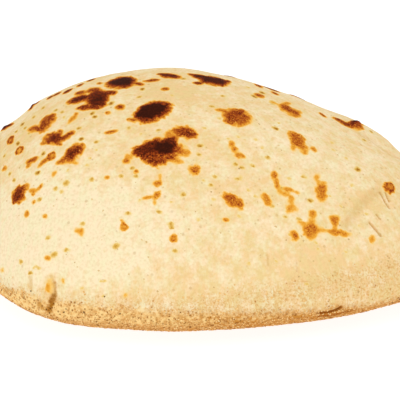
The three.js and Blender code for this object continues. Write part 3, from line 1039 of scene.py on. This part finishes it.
class PitaCrustSettings(bpy.types.PropertyGroup):
    """Relief and colours of the crust."""

    ripple: amount("Ripple", "Depth of the skin's unevenness", 1.0, max=3.0)
    blister: amount("Blister", "Height of the scorched blisters", 1.0, max=3.0)
    pale_dough: tint("Pale dough", "The palest dough", colour(252, 238, 200))
    warm_dough: tint("Warm dough", "Dough that has begun to colour", colour(240, 206, 142))
    grain: tint("Grain", "The darker fine grain of the dough", colour(222, 186, 128))
    cool_dough: tint("Cool dough", "The greenish cast of some of the dough", colour(228, 218, 160))
    rosy_dough: tint("Rosy dough", "The rosy cast of some of the dough", colour(250, 206, 166))
    pebble: tint("Pebble", "The hollows of the pebbly skin near the base", colour(220, 166, 92))
    freckle: tint("Freckle", "Bran freckles in the dough", colour(178, 134, 60))
    toast_light: tint("Light toast", "The pale parts of the toasted base", colour(252, 215, 146))
    toast_dark: tint("Dark toast", "The dark parts of the toasted base", colour(204, 139, 58))
    # Painted shade on the toast where the base turns under the bread.
    toast_under_shade: tint("Underside", "The toast where the base turns under the bread", colour(198, 130, 56))
    toast_speck: tint("Toast specks", "Scorched specks in the toasted base", colour(156, 96, 26))


class PitaGrainSettings(bpy.types.PropertyGroup):
    """Grit baked into the base, and bran flecks on top."""

    grit_count: IntProperty(name="Grit", description="Grains in the base", default=14500, min=0, max=16000)
    grit_size: amount("Grit size", "Mean size of a grain", 0.40 * MM, unit="LENGTH", precision=5)
    fleck_count: IntProperty(name="Flecks", description="Number of bran flecks", default=420, min=0, max=5000)
    fleck_size: amount("Fleck size", "Mean length of a fleck", 0.50 * MM, unit="LENGTH", precision=5)


class PitaStageSettings(bpy.types.PropertyGroup):
    """Floor and light."""

    floor: tint("Floor", "Colour of the table", (0.30, 0.30, 0.30, 1.0))
    floor_glow: amount("Floor glow", "Light from the table itself", 0.88)
    key_power: amount("Key", "Power of the large front light", 6.2, unit="POWER")
    sky: amount("Sky", "Even light from all round", 0.78)


# ---------------------------------------------------------------- operators


def put(name, data):
    """An object with this mesh, light or camera, put into the scene."""
    item = bpy.data.objects.new(name, data)
    bpy.context.scene.collection.objects.link(item)
    return item


def finished(name, bm, material):
    """A bmesh made into a piece of the scene."""
    mesh = bpy.data.meshes.new(name)
    bm.to_mesh(mesh)
    bm.free()
    mesh.materials.append(material)
    return put(name, mesh)


class PITA_OT_bake_crust(bpy.types.Operator):
    """Bake the crust with its scorch marks, furrows and toasted base"""

    bl_idname = "pita.bake_crust"
    bl_label = "Bake Crust"

    def execute(self, context):
        settings = context.scene.pita_crust
        speckle_group()
        mottle_group()
        crust = finished("pita_crust", build_skin(settings), crust_material(settings))
        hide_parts(LOAF)
        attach(crust, BODY)
        return {"FINISHED"}


class PITA_OT_press_grit(bpy.types.Operator):
    """Press angular grains into the toasted base"""

    bl_idname = "pita.press_grit"
    bl_label = "Press Grit"

    def execute(self, context):
        settings = context.scene.pita_grain
        draw = random.Random(SEED + 1)
        mesh = bpy.data.objects["pita_crust"].data
        grains = []
        for spot, normal in skin_samples(mesh, draw, settings.grit_count, grit_weight):
            size = settings.grit_size * draw.uniform(0.6, 1.5)
            tone = min(max(draw.gauss(0.40, 0.22), 0.0), 1.0)
            spot += normal * size * GRIT_STANDS
            grains.append((spot, grain_axes(normal, draw, size, GRIT_FLAT), tone))
        material = grain_material("hearth_grit", GRIT_STOPS)
        grit = scatter("hearth_grit", grains, grain_shapes(draw, GRIT_SHAPES), material)
        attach(grit, BODY)
        return {"FINISHED"}


class PITA_OT_sprinkle_bran(bpy.types.Operator):
    """Sprinkle thin bran flecks over the skin, and charred crumbs near the base"""

    bl_idname = "pita.sprinkle_bran"
    bl_label = "Sprinkle Bran"

    def execute(self, context):
        settings = context.scene.pita_grain
        draw = random.Random(SEED + 2)
        crust = bpy.data.objects["pita_crust"]
        grains = []
        for spot, normal in skin_samples(crust.data, draw, settings.fleck_count, fleck_weight):
            size = settings.fleck_size * draw.uniform(0.6, 1.4)
            grains.append((spot, grain_axes(normal, draw, size, FLECK_FLAT), 0.6 * draw.random() ** 2))
        bm = bmesh.new()
        bm.from_mesh(crust.data)
        skin = BVHTree.FromBMesh(bm)
        bm.free()
        for x, y in CHAR_CRUMBS:
            seat = facing_seat(skin, x, y)
            grains.append((seat.point, grain_axes(seat.normal, draw, CRUMB_SIZE * MM, CRUMB_FLAT), 1.0))
        material = grain_material("bran", FLECK_STOPS)
        bran = scatter("bran_flecks", grains, grain_shapes(draw, FLECK_SHAPES), material)
        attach(bran, BODY)
        return {"FINISHED"}


class PITA_OT_set_stage(bpy.types.Operator):
    """Lay the table, light it softly and set up the camera"""

    bl_idname = "pita.set_stage"
    bl_label = "Set Stage"

    def execute(self, context):
        settings = context.scene.pita_stage
        scene = context.scene
        self.lay_floor(settings)
        self.light_from(KEY_PLACE, settings.key_power)
        world = bpy.data.worlds.new("studio")
        world.use_nodes = True
        fill(world.node_tree.nodes["Background"], {"Color": WHITE, "Strength": settings.sky})
        scene.world = world
        scene.view_settings.view_transform = "Standard"
        camera = bpy.data.cameras.new("camera")
        camera.lens, camera.sensor_width = LENS, SENSOR
        camera.clip_start, camera.clip_end = 0.01, 20.0
        scene.camera = put("camera", camera)
        scene.camera.location = CAMERA_PLACE
        scene.camera.rotation_euler = LOOK.to_track_quat("-Z", "Y").to_euler()
        return {"FINISHED"}

    def lay_floor(self, settings):
        """A wide plain table top just under the bread."""
        bm = bmesh.new()
        bmesh.ops.create_grid(bm, x_segments=1, y_segments=1, size=TABLE_HALF)
        material, shader = new_material("table_top")
        fill(shader, {
            "Base Color": settings.floor,
            "Roughness": 0.9,
            "Specular IOR Level": 0.1,
            "Emission Color": WHITE,
            "Emission Strength": settings.floor_glow,
        })
        finished("table_top", bm, material)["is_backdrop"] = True

    def light_from(self, spot, power):
        """A large soft light that faces the bread."""
        light = bpy.data.lights.new("key_softbox", "AREA")
        light.shape = "RECTANGLE"
        light.size, light.size_y = KEY_SIZE
        light.energy = power
        lamp = put("key_softbox", light)
        lamp.location = spot
        lamp.rotation_euler = (TARGET - spot).to_track_quat("-Z", "Y").to_euler()


class PITA_PT_workshop(bpy.types.Panel):
    """The steps of the bread, in the sidebar"""

    bl_idname = "PITA_PT_workshop"
    bl_label = "Puffed Pita"
    bl_space_type = "VIEW_3D"
    bl_region_type = "UI"
    bl_category = "Pita"

    def draw(self, context):
        scene = context.scene
        for settings, steps in (
            (scene.pita_crust, ("pita.bake_crust",)),
            (scene.pita_grain, ("pita.press_grit", "pita.sprinkle_bran")),
            (scene.pita_stage, ("pita.set_stage",)),
        ):
            box = self.layout.box()
            for name in settings.__annotations__:
                box.prop(settings, name)
            for step in steps:
                box.operator(step)


SETTINGS = {"pita_crust": PitaCrustSettings, "pita_grain": PitaGrainSettings, "pita_stage": PitaStageSettings}
CLASSES = (
    *SETTINGS.values(),
    PITA_OT_bake_crust,
    PITA_OT_press_grit,
    PITA_OT_sprinkle_bran,
    PITA_OT_set_stage,
    PITA_PT_workshop,
)


def register():
    """Registers the settings, the operators and the panel."""
    for cls in CLASSES:
        bpy.utils.register_class(cls)
    for name, cls in SETTINGS.items():
        setattr(bpy.types.Scene, name, PointerProperty(type=cls))


def unregister():
    """Takes all of them away again."""
    for name in SETTINGS:
        delattr(bpy.types.Scene, name)
    for cls in reversed(CLASSES):
        bpy.utils.unregister_class(cls)


def main():
    """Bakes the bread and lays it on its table."""
    register()
    bpy.ops.pita.bake_crust()
    bpy.ops.pita.press_grit()
    bpy.ops.pita.sprinkle_bran()
    bpy.ops.pita.set_stage()
    boxes = {"cad": CAD_BOX, "visual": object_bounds()}
    plain = {name: [[float(value) for value in corner] for corner in box] for name, box in boxes.items()}


if __name__ == "__main__":
    main()
